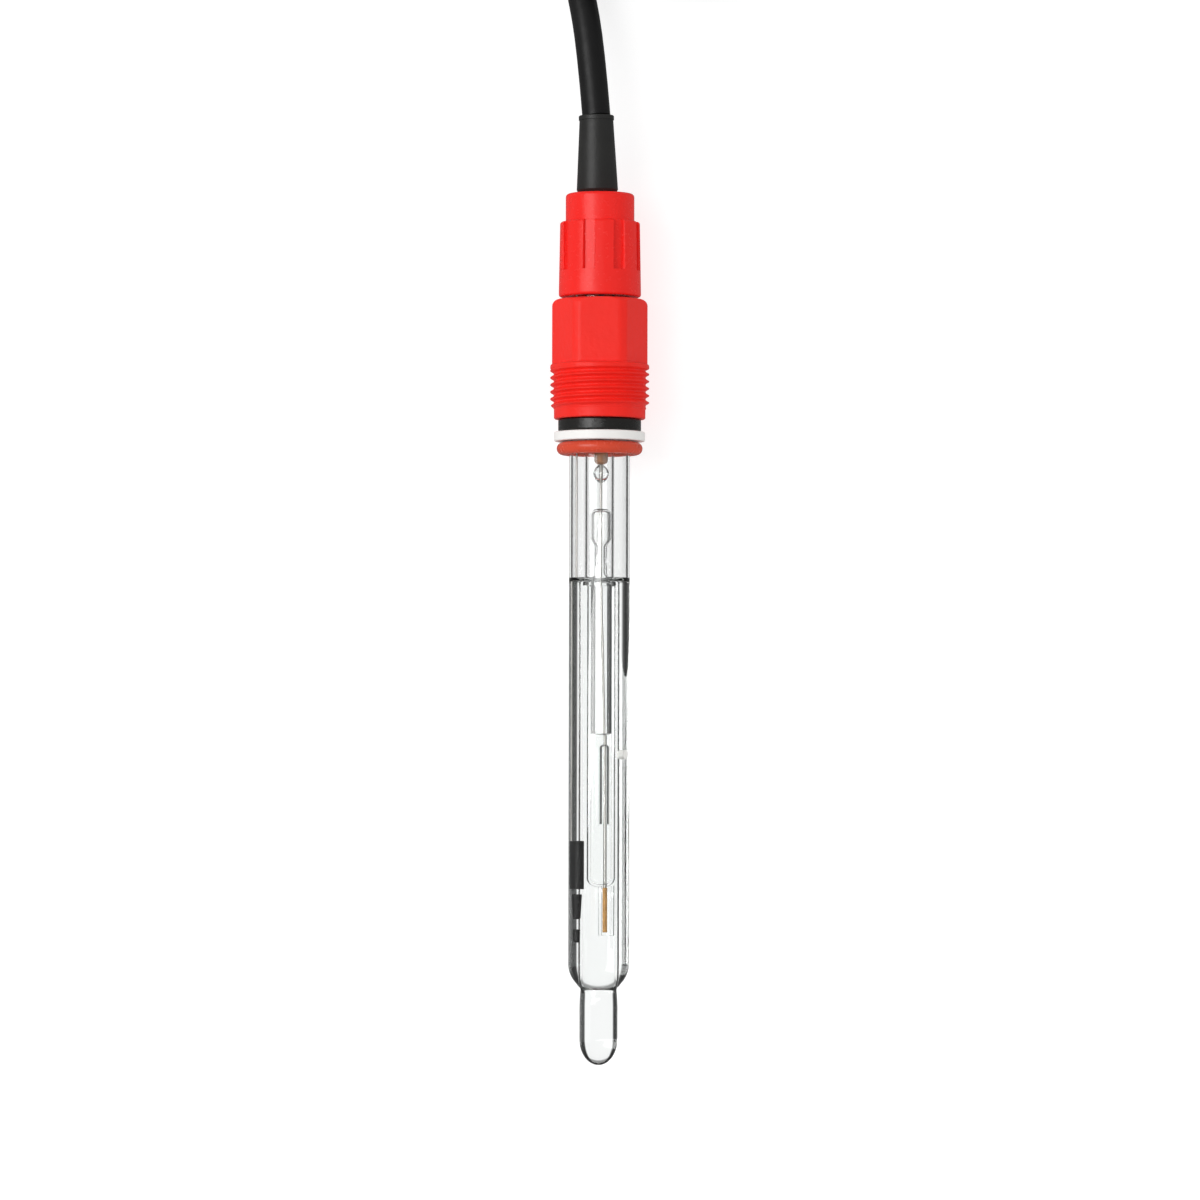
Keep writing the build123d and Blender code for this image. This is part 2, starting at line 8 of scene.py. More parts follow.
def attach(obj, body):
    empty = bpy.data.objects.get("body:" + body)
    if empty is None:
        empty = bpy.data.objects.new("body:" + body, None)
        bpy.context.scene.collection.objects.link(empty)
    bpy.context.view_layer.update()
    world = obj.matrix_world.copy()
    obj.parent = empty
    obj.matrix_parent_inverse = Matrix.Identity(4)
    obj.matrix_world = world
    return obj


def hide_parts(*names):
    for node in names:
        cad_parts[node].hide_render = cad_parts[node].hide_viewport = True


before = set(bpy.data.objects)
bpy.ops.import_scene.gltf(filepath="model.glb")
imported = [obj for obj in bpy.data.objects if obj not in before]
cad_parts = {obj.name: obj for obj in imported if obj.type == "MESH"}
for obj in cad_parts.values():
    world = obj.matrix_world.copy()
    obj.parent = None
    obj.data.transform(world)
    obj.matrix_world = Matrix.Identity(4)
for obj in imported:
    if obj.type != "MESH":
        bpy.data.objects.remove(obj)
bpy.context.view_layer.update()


# Sizes repeated from the CAD source, in millimetres. Heights run along the electrode's own axis.
SHAFT_R, SHAFT_BORE = 6.0, 5.35
STEM_R, STEM_BORE = 3.0, 2.5
SHOULDER_SLOPE, SHOULDER_ROUND = 42.0, 5.7
SHAFT_REACH = 109.7
NECK_R = 3.55
CONE_END, SEAM, BULB_START, DOME_START = -112.421, -112.921, -115.921, -122.421
BULB_R, BULB_STEP_R, BULB_DOME, MEMBRANE = 3.75, 3.65, 5.1, 0.45
TUBE_TOP, STEM_TOP = 32.2, 34.0
GEL_TOP, BUFFER_TOP = -32.2, -33.4
ELEMENT_R, ELEMENT_WALL, ELEMENT_X = 2.075, 0.55, 0.3
ELEMENT_TOP, ELEMENT_BASE = -17.8, -92.5
CAPILLARY_X, CAPILLARY_R, CAPILLARY_TOP, CAPILLARY_BASE = 0.78, 0.85, -64.2, -80.4
FILL_TOP, FILL_BASE = -62.5, -77.5
TIP_X, TIP_R, TIP_BORE, TIP_BASE = 1.12, 1.15, 0.7, -102.0
GLAND_BORE, GLAND_FACE, GLAND_TOP = 6.06, 0.0, 23.7
HEX_HALF, HEX_CORNER_R, HEX_START, HEX_ROUND = 8.5, 9.45, 10.9, 1.3
PITCH, CREST, ROOT = 1.41, 9.8, 9.1
THREAD_START, THREAD_END = 1.9, 10.0
FLOOR_Z = -9.732
LOW_TURN_Z = -5.882
CABLE_R = 2.8
BOOT_TIP = (-0.775, 60.262, 2.095)
PLUG_REAR = (3.321, 239.941, -6.3)

STRAIGHT = SHAFT_REACH - SHOULDER_ROUND * tan(radians(SHOULDER_SLOPE / 2))
# It lies on the lower edge of its thread and on the end of its shaft's straight part
REST_EDGE = 1.8
LEAN = atan2(CREST - SHAFT_R, REST_EDGE + STRAIGHT)
ALONG = Vector((0, cos(LEAN), sin(LEAN)))
UP = Vector((0, -sin(LEAN), cos(LEAN)))


def at(side, height, up=0.0):
    """Place beside the electrode's axis, from millimetres to metres."""
    return (Vector((side, 0, 0)) + ALONG * height + UP * up) / 1000


# Camera: straight above the lying electrode, a long lens at 1.3 m
CAMERA_UP, CAMERA_TURN = 1300, 0.113
PICTURE_WIDTH = 237.15
SENSOR = 36
view_from = at(0, -90, CAMERA_UP)
look_at = at(0.14, -35.8)
back = (view_from - look_at).normalized()
right = Vector((0, 1, 0)).cross(back).normalized()
over = back.cross(right)
roll = radians(CAMERA_TURN)
turned_right = right * cos(roll) + over * sin(roll)
turned_over = over * cos(roll) - right * sin(roll)
camera = bpy.data.objects.new("camera", bpy.data.cameras.new("camera"))
bpy.context.scene.collection.objects.link(camera)
camera.matrix_world = Matrix.Translation(view_from) @ Matrix(
    (turned_right, turned_over, back)
).transposed().to_4x4()
camera.data.sensor_width = SENSOR
camera.data.lens = SENSOR * (CAMERA_UP + 1) / PICTURE_WIDTH
camera.data.clip_end = 20
bpy.context.scene.camera = camera


# Materials
def node(tree, kind, **values):
    made = tree.nodes.new(kind)
    for key, value in values.items():
        if hasattr(made, key):
            setattr(made, key, value)
        else:
            made.inputs[key.replace("_", " ")].default_value = value
    return made


def fresh(name):
    made = bpy.data.materials.new(name)
    made.use_nodes = True
    made.node_tree.nodes.clear()
    return made, made.node_tree, made.node_tree.links.new


def solid(
    name, colour, rough, mottle=0.06, mottle_scale=90.0, grain_scale=1500.0, grain=0.00004, rough_swing=0.06,
    metal=0.0, spec=0.5, edge=0.0, stretch=(1, 1, 1), bumps=None,
):
    """Moulded or drawn surface: slightly mottled colour, uneven gloss, fine grain and softened edges."""
    made, tree, link = fresh(name)
    out = node(tree, "ShaderNodeOutputMaterial")
    shade = node(tree, "ShaderNodeBsdfPrincipled")
    link(shade.outputs[0], out.inputs[0])
    place = node(tree, "ShaderNodeTexCoord")
    run = node(tree, "ShaderNodeMapping")
    run.inputs["Scale"].default_value = stretch
    link(place.outputs["Object"], run.inputs["Vector"])
    cloud = node(tree, "ShaderNodeTexNoise", Scale=mottle_scale, Detail=4.0, Roughness=0.6)
    fine = node(tree, "ShaderNodeTexNoise", Scale=grain_scale, Detail=3.0, Roughness=0.55)
    for texture in (cloud, fine):
        link(run.outputs[0], texture.inputs["Vector"])
    tint = node(tree, "ShaderNodeValToRGB")
    tint.color_ramp.elements[0].position = 0.3
    tint.color_ramp.elements[1].position = 0.7
    tint.color_ramp.elements[0].color = (*[c * (1 - mottle) for c in colour], 1)
    tint.color_ramp.elements[1].color = (*[min(1.0, c * (1 + mottle)) for c in colour], 1)
    link(cloud.outputs["Fac"], tint.inputs[0])
    link(tint.outputs[0], shade.inputs["Base Color"])
    gloss = node(tree, "ShaderNodeMapRange")
    gloss.inputs["To Min"].default_value = max(0.02, rough - rough_swing)
    gloss.inputs["To Max"].default_value = rough + rough_swing
    link(fine.outputs["Fac"], gloss.inputs["Value"])
    link(gloss.outputs[0], shade.inputs["Roughness"])
    bump = node(tree, "ShaderNodeBump", Strength=1.0, Distance=grain)
    link(fine.outputs["Fac"], bump.inputs["Height"])
    if bumps:
        wide = node(tree, "ShaderNodeTexNoise", Scale=bumps[0], Detail=2.0)
        link(run.outputs[0], wide.inputs["Vector"])
        wave = node(tree, "ShaderNodeBump", Strength=1.0, Distance=bumps[1])
        link(wide.outputs["Fac"], wave.inputs["Height"])
        link(wave.outputs[0], bump.inputs["Normal"])
        first = wave
    else:
        first = bump
    if edge:
        bevel = node(tree, "ShaderNodeBevel", samples=6)
        bevel.inputs["Radius"].default_value = edge
        link(bevel.outputs[0], first.inputs["Normal"])
    link(bump.outputs[0], shade.inputs["Normal"])
    shade.inputs["Metallic"].default_value = metal
    shade.inputs["Specular IOR Level"].default_value = spec
    return made


def interface(name, ior, tint=(1, 1, 1), ripple=0.0, ripple_scale=60.0, stretch=(1, 1, 1)):
    """One boundary between two clear media. Shadow rays pass it, so that light reaches what is inside."""
    made, tree, link = fresh(name)
    out = node(tree, "ShaderNodeOutputMaterial")
    glass = node(tree, "ShaderNodeBsdfGlass", Roughness=0.0, IOR=ior)
    glass.inputs["Color"].default_value = (*tint, 1)
    clear = node(tree, "ShaderNodeBsdfTransparent")
    clear.inputs[0].default_value = (*[0.985 * c for c in tint], 1)
    ray = node(tree, "ShaderNodeLightPath")
    mix = node(tree, "ShaderNodeMixShader")
    link(ray.outputs["Is Shadow Ray"], mix.inputs[0])
    link(glass.outputs[0], mix.inputs[1])
    link(clear.outputs[0], mix.inputs[2])
    link(mix.outputs[0], out.inputs[0])
    if ripple:
        place = node(tree, "ShaderNodeTexCoord")
        run = node(tree, "ShaderNodeMapping")
        run.inputs["Scale"].default_value = stretch
        wave = node(tree, "ShaderNodeTexNoise", Scale=ripple_scale, Detail=1.0)
        bump = node(tree, "ShaderNodeBump", Strength=1.0, Distance=ripple)
        link(place.outputs["Object"], run.inputs["Vector"])
        link(run.outputs[0], wave.inputs["Vector"])
        link(wave.outputs["Fac"], bump.inputs["Height"])
        link(bump.outputs[0], glass.inputs["Normal"])
    return made


RED = (0.93, 0.022, 0.014)
red_gland = solid(
    "red_gland", RED, 0.36, 0.03, 120, 900, 0.00007, 0.08, spec=0.22, edge=0.00018, bumps=(350, 0.00006)
)
red_cap = solid("red_cap", (0.93, 0.02, 0.015), 0.26, 0.025, 90, 1100, 0.00003, 0.06, spec=0.3, edge=0.00015)
boot_rubber = solid(
    "boot_rubber", (0.021, 0.021, 0.02), 0.42, 0.15, 160, 1400, 0.00004, 0.08, spec=0.4, edge=0.0001
)
cable_sheath = solid(
    "cable_sheath", (0.009, 0.009, 0.0092), 0.42, 0.2, 60, 900, 0.00005, 0.1, spec=0.3, bumps=(180, 0.0001)
)
tie_plastic = solid("tie_plastic", (0.03, 0.03, 0.032), 0.35, 0.1, 200, 1200, 0.00003, edge=0.0002)
collar_rubber = solid(
    "collar_rubber", (0.012, 0.0118, 0.011), 0.25, 0.15, 200, 1200, 0.00003, 0.08, edge=0.0001
)
white_plastic = solid("white_plastic", (0.93, 0.915, 0.89), 0.4, 0.02, 150, 1300, 0.00003, edge=0.0001)
orange_rubber = solid("orange_rubber", (0.68, 0.065, 0.026), 0.26, 0.06, 220, 1000, 0.00004, 0.08, spec=0.5)
ceramic = solid("ceramic", (0.95, 0.94, 0.91), 0.7, 0.04, 900, 3000, 0.00002)
plug_rubber = solid("plug_rubber", (0.006, 0.006, 0.006), 0.5, 0.3, 500, 2200, 0.00003)
silver = solid("silver", (0.62, 0.6, 0.57), 0.35, 0.1, 300, 2500, 0.00001, metal=1.0, stretch=(1, 0.1, 1))
chloride = solid("chloride", (0.5, 0.26, 0.08), 0.7, 0.2, 500, 3000, 0.00003)
copper = solid("copper", (0.42, 0.2, 0.1), 0.5, 0.25, 400, 2500, 0.00004, metal=0.6)
lead_sheath = solid("lead_sheath", (0.1, 0.09, 0.085), 0.5, 0.1, 300, 2000, 0.00002)
resin = solid("resin", (0.09, 0.088, 0.085), 0.25, 0.1, 150, 900, 0.00003)
nickel = solid("nickel", (0.66, 0.645, 0.61), 0.24, 0.04, 200, 1800, 0.00001, 0.05, metal=1.0, edge=0.00015)
gold = solid("gold", (0.85, 0.6, 0.25), 0.22, 0.04, 200, 1800, 0.00001, 0.04, metal=1.0, edge=0.0001)
insulator_plastic = solid(
    "insulator_plastic", (0.9, 0.89, 0.86), 0.45, 0.02, 150, 1300, 0.00002, edge=0.0001
)

for name, look in (
    ("cap", red_cap), ("strain_relief", boot_rubber), ("cable_end", cable_sheath), ("coil_ties", tie_plastic),
    ("collar_ring", collar_rubber), ("thrust_washer", white_plastic), ("seal_ring", orange_rubber),
    ("junction_pin", ceramic), ("reference_plug", plug_rubber), ("reference_pellets", plug_rubber),
    ("reference_wire", silver), ("silver_wire", silver), ("chloride_layer", chloride),
    ("lead_splice", copper), ("measuring_lead", lead_sheath), ("stem_plug", plug_rubber),
    ("potting", resin), ("plug_boot", boot_rubber),
    ("plug_body", nickel), ("plug_ring", nickel), ("plug_insulator", insulator_plastic), ("plug_pin", gold),
):
    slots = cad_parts[name].data.materials
    slots.clear()
    slots.append(look)


# Cable: one spline through the free run, the long turns of the tied hank and the end to the plug
HANK_X, HANK_Y, HANK_RUN = 14.25, 114.0, 74.0
RINGS = (23.2, 17.6, 12.0)
TURN_STEPS, BEND_STEP = 24, 22.5
# Control points of a bend lie outside its curve by this share
BEND_SHARE = 0.981
# Where each turn starts to move to the next ring or layer, and over how many steps
MOVES = (16, 40, 62, 84, 108, 128, 148, 172, 194, 216, 240)
SPANS = (4, 4, 2, 2, 2, 4, 4, 4, 2, 2, 2)
LAST_STEP = 243


def hank_point(step, radius, layer):
    """Control point on a long turn: left run, far end, right run, near end."""
    part = step % TURN_STEPS
    reach = radius / BEND_SHARE
    if part <= 4:
        place = (HANK_X - radius, HANK_Y + HANK_RUN * part / 4)
    elif part < 12:
        bearing = radians(180 - BEND_STEP * (part - 4))
        place = (HANK_X + reach * cos(bearing), HANK_Y + HANK_RUN + reach * sin(bearing))
    elif part <= 16:
        place = (HANK_X + radius, HANK_Y + HANK_RUN * (16 - part) / 4)
    else:
        bearing = radians(-BEND_STEP * (part - 16))
        place = (HANK_X + reach * cos(bearing), HANK_Y + reach * sin(bearing))
    return (*place, LOW_TURN_Z + 2 * CABLE_R * layer)


def ring_place(turn):
    """Radius and layer of a turn of the hank."""
    layer, column = divmod(turn, len(RINGS))
    return RINGS[column if layer % 2 == 0 else 2 - column], layer


route = [
    BOOT_TIP, (-1.9, 74.0, 1.5), (-3.9, 86.0, -2.0), (-6.6, 97.0, -5.4), (-8.7, 109.0, LOW_TURN_Z),
]
for step in range(1, LAST_STEP + 1):
    turn = sum(1 for start, span in zip(MOVES, SPANS) if step >= start + span)
    radius, layer = ring_place(turn)
    if turn < len(MOVES) and step > MOVES[turn]:
        share = (step - MOVES[turn]) / SPANS[turn]
        next_radius, next_layer = ring_place(turn + 1)
        radius += (next_radius - radius) * share
        layer += (next_layer - layer) * share
    route.append(hank_point(step, radius, layer))
route += [
    (-9.05, 181.0, 10.918), (-10.0, 195.0, 10.518), (-9.8, 206.5, 5.7), (-7.6, 218.5, -1.7),
    (-3.4, 230.0, -6.232), PLUG_REAR,
]
curve = bpy.data.curves.new("cable_run", "CURVE")
curve.dimensions = "3D"
curve.resolution_u = 4
curve.bevel_depth = CABLE_R / 1000
curve.bevel_resolution = 5
curve.use_fill_caps = True
spline = curve.splines.new("NURBS")
spline.points.add(len(route) - 1)
for point, place in zip(spline.points, route):
    point.co = (*[v / 1000 for v in place], 1)
spline.order_u = 3
spline.use_endpoint_u = True
cable_run = bpy.data.objects.new("cable_run", curve)
bpy.context.scene.collection.objects.link(cable_run)
curve.materials.append(cable_sheath)
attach(cable_run, "electrode")
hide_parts("cable", "cable_coil", "cable_tail")


# Meshes turned about the electrode's axis
SAME_POINT = 1e-7


def grid_mesh(name, rows, look, stands_for=(), body="electrode", sharp=60):
    """Surface from rings of points (metres). A ring of one point closes it at a pole."""
    form = bmesh.new()
    made_rows = [[form.verts.new(p) for p in row] for row in rows]
    for low, high in zip(made_rows, made_rows[1:]):
        count = max(len(low), len(high))
        for k in range(count):
            corners = [
                high[k % len(high)], high[(k + 1) % len(high)],
                low[(k + 1) % len(low)], low[k % len(low)],
            ]
            distinct = []
            for corner in corners:
                if corner not in distinct:
                    distinct.append(corner)
            if len(distinct) > 2:
                form.faces.new(distinct)
    bmesh.ops.remove_doubles(form, verts=form.verts, dist=SAME_POINT)
    bmesh.ops.dissolve_degenerate(form, edges=form.edges, dist=SAME_POINT)
    mesh = bpy.data.meshes.new(name)
    form.to_mesh(mesh)
    form.free()
    mesh.materials.append(look)
    mesh.shade_smooth()
    mesh.set_sharp_from_angle(angle=radians(sharp))
    made = bpy.data.objects.new(name, mesh)
    bpy.context.scene.collection.objects.link(made)
    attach(made, body)
    if stands_for:
        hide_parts(*stands_for)
    return made


def spin(profile, side=0.0, up=0.0, steps=96):
    """Rings of points about a line beside the axis, for a profile of (radius, height) in millimetres."""
    rows = []
    for radius, height in profile:
        if radius <= 0:
            rows.append([at(side, height, up)])
        else:
            rows.append([
                at(side + radius * sin(2 * pi * k / steps), height, up + radius * cos(2 * pi * k / steps))
                for k in range(steps)
            ])
    return rows


def arc(radius_centre, height_centre, size, start, end, count):
    """Points of a round, from one bearing to another (0 is outward, 90 is up)."""
    return [
        (
            radius_centre + size * cos(radians(start + (end - start) * k / count)),
            height_centre + size * sin(radians(start + (end - start) * k / count)),
        )
        for k in range(count + 1)
    ]


def shoulder(inset, end_r):
    """Shaft side and shoulder, from the round down to the cone's end, set in by inset."""
    radius = SHAFT_R - inset
    size = SHOULDER_ROUND - inset
    top = -STRAIGHT
    points = arc(radius - size, top, size, 0, -SHOULDER_SLOPE, 14)
    last_r, last_h = points[-1]
    drop = (last_r - end_r) / tan(radians(SHOULDER_SLOPE))
    return points + [(end_r, last_h - drop)]


def dome(side, deep, start, count=20):
    """Bulb's round end as a curve of four control points."""
    bow = 0.552
    points = []
    for k in range(1, count + 1):
        t = k / count
        a, b, c, d = (1 - t) ** 3, 3 * t * (1 - t) ** 2, 3 * t * t * (1 - t), t ** 3
        points.append((
            max(0.0, (a + b) * side + c * bow * side) if k < count else 0.0,
            start - (b * bow * deep + (c + d) * deep),
        ))
    return points


GLASS, LIQUID = 1.48, 1.35
air_to_glass = interface("air_to_glass", GLASS, (0.995, 1.0, 0.998), 0.00002, 45, (1, 0.25, 1))
glass_to_liquid = interface("glass_to_liquid", LIQUID / GLASS, (0.998, 1.0, 0.999), 0.00002, 60, (1, 0.3, 1))
glass_to_air = interface("glass_to_air", 1 / GLASS)
air_to_liquid = interface("air_to_liquid", LIQUID, (0.998, 1.0, 0.999), 0.00002, 300)
liquid_to_glass = interface("liquid_to_glass", GLASS / LIQUID, (0.998, 1.0, 0.999), 0.00001, 120, (1, 0.3, 1))

# Outside of shaft, neck and bulb: air to glass
outer = [(SHAFT_BORE, TUBE_TOP), (SHAFT_R, TUBE_TOP)] + [(SHAFT_R, h) for h in (20.0, 0.0, -40.0, -80.0)]
outer += shoulder(0, NECK_R + 0.15)[:-1]
outer += [
    (NECK_R + 0.4, CONE_END + 0.35), (NECK_R + 0.08, CONE_END + 0.08), (NECK_R, CONE_END - 0.25),
    (NECK_R, SEAM), (NECK_R + 0.02, SEAM - 0.3), (BULB_STEP_R, SEAM - 0.8), (3.7, SEAM - 1.7),
    (BULB_R, BULB_START), (BULB_R, DOME_START),
]
outer += dome(BULB_R, BULB_DOME, DOME_START)
grid_mesh("glass_outside", spin(outer), air_to_glass, ("outer_tube", "membrane_bulb"))

# Gel between shaft and stem: its walls meet glass, its top meets the air
GEL_AT_SHAFT, GEL_AT_STEM = GEL_TOP + 0.75, GEL_TOP + 0.55
gel_wall = [(SHAFT_BORE, h) for h in (GEL_AT_SHAFT, -60.0, -90.0)] + shoulder(0.65, STEM_R)
gel_wall += [(STEM_R, h) for h in (-110.0, -80.0, -50.0, GEL_AT_STEM)]
grid_mesh("gel", spin(gel_wall), glass_to_liquid, ("reference_gel",))
gel_top = [
    (STEM_R, GEL_AT_STEM), (3.15, GEL_TOP + 0.22), (3.4, GEL_TOP + 0.05), (3.8, GEL_TOP - 0.08),
    (4.3, GEL_TOP - 0.1), (4.8, GEL_TOP + 0.05), (5.1, GEL_TOP + 0.3), (SHAFT_BORE, GEL_AT_SHAFT),
]
grid_mesh("gel_surface", spin(gel_top), air_to_liquid)

# Air between shaft and stem, over the gel
dry_gap = [(SHAFT_BORE, h) for h in (TUBE_TOP, 0.0, GEL_AT_SHAFT)]
grid_mesh("shaft_bore_dry", spin(dry_gap), glass_to_air)
dry_stem = [(STEM_R, h) for h in (GEL_AT_STEM, 0.0, STEM_TOP)]
grid_mesh("stem_outside_dry", spin(dry_stem), glass_to_air, ("inner_stem",))

# Inside of stem and bulb: buffer below, air above
BUFFER_AT_STEM, BUFFER_AT_ELEMENT = BUFFER_TOP + 0.4, BUFFER_TOP + 0.3
MEMBRANE_R = BULB_R - MEMBRANE
inner = [(STEM_BORE, h) for h in (BUFFER_AT_STEM, -60.0, -90.0, SEAM)]
inner += [
    (STEM_BORE + 0.25, SEAM - 0.35), (BULB_STEP_R - MEMBRANE, SEAM - 0.9), (MEMBRANE_R, BULB_START),
    (MEMBRANE_R, DOME_START),
]
inner += dome(MEMBRANE_R, BULB_DOME - MEMBRANE, DOME_START)
grid_mesh("buffer", spin(inner), glass_to_liquid, ("inner_buffer",))
dry_bore = [(STEM_BORE, h) for h in (STEM_TOP, 0.0, BUFFER_AT_STEM)]
grid_mesh("stem_bore_dry", spin(dry_bore), glass_to_air)

ELEMENT_STEPS, THIN_STEPS = 64, 48
CROWN_ROUND, CROWN_LENGTH, WAIST_R = 1.2, 6.0, 1.2
WAIST_EASE, WAIST_LENGTH, END_ROUND = 1.7, 6.7, 1.8


def element_profile(inset):
    """Side of the element tube from its crown to its round end, set in by inset."""
    side, waist = ELEMENT_R - inset, WAIST_R - inset
    crown_round = CROWN_ROUND - inset
    crown_end = ELEMENT_TOP - CROWN_LENGTH
    points = arc(side - crown_round, ELEMENT_TOP - CROWN_ROUND, crown_round, 90, 0, 8)
    for wide, narrow, start in ((side, waist, crown_end + 0.2), (waist, side, crown_end - WAIST_LENGTH)):
        for share in (0.0, 0.15, 0.5, 0.85, 1.0):
            ease = (1 - cos(pi * share)) / 2
            points.append((wide + (narrow - wide) * ease, start - WAIST_EASE * share))
    size = END_ROUND - inset
    return points, arc(side - size, ELEMENT_BASE + END_ROUND, size, 0, -90, 10)


def element_spin(profile):
    return spin(profile, ELEMENT_X, 0, ELEMENT_STEPS)


# Element tube: dry in the stem's air, wet in the buffer, with its own air and liquid inside
top_part, end_part = element_profile(0)
bore_top, bore_end = element_profile(ELEMENT_WALL)
bore_r = ELEMENT_R - ELEMENT_WALL
fill_edge = FILL_TOP + 0.25
dry_side = [(0, ELEMENT_TOP)] + top_part + [(ELEMENT_R, BUFFER_AT_ELEMENT)]
grid_mesh("element_dry", element_spin(dry_side), air_to_glass, ("element_tube",))
wet_side = [(ELEMENT_R, h) for h in (BUFFER_AT_ELEMENT, -60.0, -85.0)] + end_part + [(0, ELEMENT_BASE)]
grid_mesh("element_wet", element_spin(wet_side), liquid_to_glass)
air_side = [(0, ELEMENT_TOP - ELEMENT_WALL)] + bore_top + [(bore_r, -50.0), (bore_r, fill_edge)]
grid_mesh("element_bore_dry", element_spin(air_side), glass_to_air)
fill_side = [(bore_r, h) for h in (fill_edge, -70.0, FILL_BASE - 8.0)] + bore_end
fill_side += [(0, ELEMENT_BASE + ELEMENT_WALL)]
grid_mesh("element_liquid", element_spin(fill_side), glass_to_liquid, ("element_fill",))
fill_top = [(0, FILL_TOP - 0.1), (0.7, FILL_TOP - 0.05), (1.2, FILL_TOP + 0.05), (bore_r, fill_edge)]
grid_mesh("element_liquid_top", element_spin(fill_top), air_to_liquid)
buffer_top = [(ELEMENT_R + 0.02, BUFFER_AT_ELEMENT), (STEM_BORE - ELEMENT_X - 0.01, BUFFER_AT_STEM)]
grid_mesh("stem_liquid_top", spin(buffer_top, ELEMENT_X / 2, 0, ELEMENT_STEPS), air_to_liquid)

# Thin tube with air in it, in the element's liquid, and the small tube under the element
tube_side = [(0, CAPILLARY_TOP)] + arc(0.15, CAPILLARY_TOP - 0.7, CAPILLARY_R - 0.15, 90, 0, 8)
tube_side += [(CAPILLARY_R, CAPILLARY_BASE), (0, CAPILLARY_BASE)]
grid_mesh(
    "capillary_glass", spin(tube_side, CAPILLARY_X, 0, THIN_STEPS), liquid_to_glass,
    ("wire_capillary",),
)
tube_air = [(0, CAPILLARY_TOP - 0.25)] + arc(0.05, CAPILLARY_TOP - 0.85, 0.6, 90, 0, 8)
tube_air += [(0.65, CAPILLARY_BASE + 0.3), (0, CAPILLARY_BASE + 0.25)]
grid_mesh("capillary_air", spin(tube_air, CAPILLARY_X, 0, THIN_STEPS), glass_to_air)
tip_start = ELEMENT_BASE + 0.3
tip_side = [
    (TIP_BORE, tip_start), (TIP_R, tip_start), (TIP_R, TIP_BASE + 0.15), (TIP_R - 0.1, TIP_BASE),
    (TIP_BORE + 0.1, TIP_BASE), (TIP_BORE, TIP_BASE + 0.15), (TIP_BORE, tip_start),
]
grid_mesh("tip_glass", spin(tip_side, TIP_X, 0, THIN_STEPS), liquid_to_glass, ("tip_tube",))
bead = [
    (0, -8.9), (0.5, -9.1), (1.0, -9.5), (1.4, -10.1), (1.6, -10.7), (1.5, -11.3), (1.1, -12.0), (0.6, -12.5),
    (0, -12.7),
]
grid_mesh("bead_glass", spin(bead, ELEMENT_X, 0, THIN_STEPS), air_to_glass, ("seal_bead",))


# Gland: hexagon turned at its corners, round band, 20 mm thread and pilot
FACE_STEPS, FLAT_STEPS = 24, 14


def hex_bearing(face, k, round_r):
    """Bearing and radius of a point of the hexagon, cut to a round of round_r."""
    reach = degrees(acos(min(1.0, HEX_HALF / round_r)))
    if k <= FLAT_STEPS:
        turn = reach * (2 * k / FLAT_STEPS - 1)
        radius = min(HEX_HALF / cos(radians(turn)), round_r)
    else:
        turn = reach + (60 - 2 * reach) * (k - FLAT_STEPS) / (FACE_STEPS - FLAT_STEPS)
        radius = round_r
    return face * 60 + turn, radius


def gland_point(bearing, radius, height):
    return at(radius * sin(radians(bearing)), height, radius * cos(radians(bearing)))


def hex_row(round_r, height):
    return [
        gland_point(*hex_bearing(face, k, round_r), height) for face in range(6) for k in range(FACE_STEPS)
    ]


def round_row(radius, height):
    """Circle with its points at the hexagon's bearings."""
    return [
        gland_point(hex_bearing(face, k, HEX_CORNER_R)[0], radius, height)
        for face in range(6) for k in range(FACE_STEPS)
    ]


# Depth of the thread over half its pitch, and over the whole of it
flank = (
    (0.0, 1.0), (0.06, 1.0), (0.1, 0.93), (0.17, 0.68), (0.26, 0.36), (0.34, 0.12), (0.42, 0.02), (0.5, 0.0),
)
tooth = list(flank) + [(1 - p, v) for p, v in reversed(flank[:-1])]


def thread_form(phase):
    """Share of the thread's depth at a phase of its pitch."""
    phase %= 1.0
    for (low, low_value), (high, high_value) in zip(tooth, tooth[1:]):
        if phase <= high:
            return low_value + (high_value - low_value) * (phase - low) / (high - low)
    return 1.0


def thread_rows():
    """Rings of the right-handed thread, which runs in over the pilot and out into the round band."""
    rows = []
    count, run_in, run_out, first_phase = 96, 0.9, 0.35, 0.3
    for i in range(1, count):
        height = THREAD_START + (THREAD_END - THREAD_START) * i / count
        start_in = min(1.0, (height - THREAD_START) / run_in)
        end_in = min(1.0, (THREAD_END - height) / run_out)
        row = []
        for face in range(6):
            for k in range(FACE_STEPS):
                bearing, _ = hex_bearing(face, k, HEX_CORNER_R)
                value = thread_form((height - THREAD_START) / PITCH - bearing / 360 + first_phase)
                radius = ROOT + (CREST - ROOT) * value * start_in
                radius = radius * end_in + CREST * (1 - end_in)
                row.append(gland_point(bearing, radius, height))
        rows.append(row)
    return rows


round_start = GLAND_TOP - HEX_ROUND
gland_rows = [
    round_row(GLAND_BORE, GLAND_TOP), round_row(GLAND_BORE, GLAND_FACE), round_row(8.85, GLAND_FACE),
    round_row(9.05, 0.2), round_row(9.05, THREAD_START),
]
gland_rows += thread_rows()
gland_rows += [round_row(CREST, THREAD_END), round_row(CREST, 10.45), round_row(9.72, 10.7)]
gland_rows += [hex_row(HEX_CORNER_R, h) for h in (HEX_START, 14.0, round_start)]
for k in range(1, 13):
    lift = radians(90 * k / 12)
    gland_rows.append(
        hex_row(HEX_CORNER_R - HEX_ROUND + HEX_ROUND * cos(lift), round_start + HEX_ROUND * sin(lift))
    )
gland_rows.append(round_row(GLAND_BORE, GLAND_TOP))
grid_mesh("gland_body", gland_rows[::-1], red_gland, ("hex_gland",), "gland", 28)


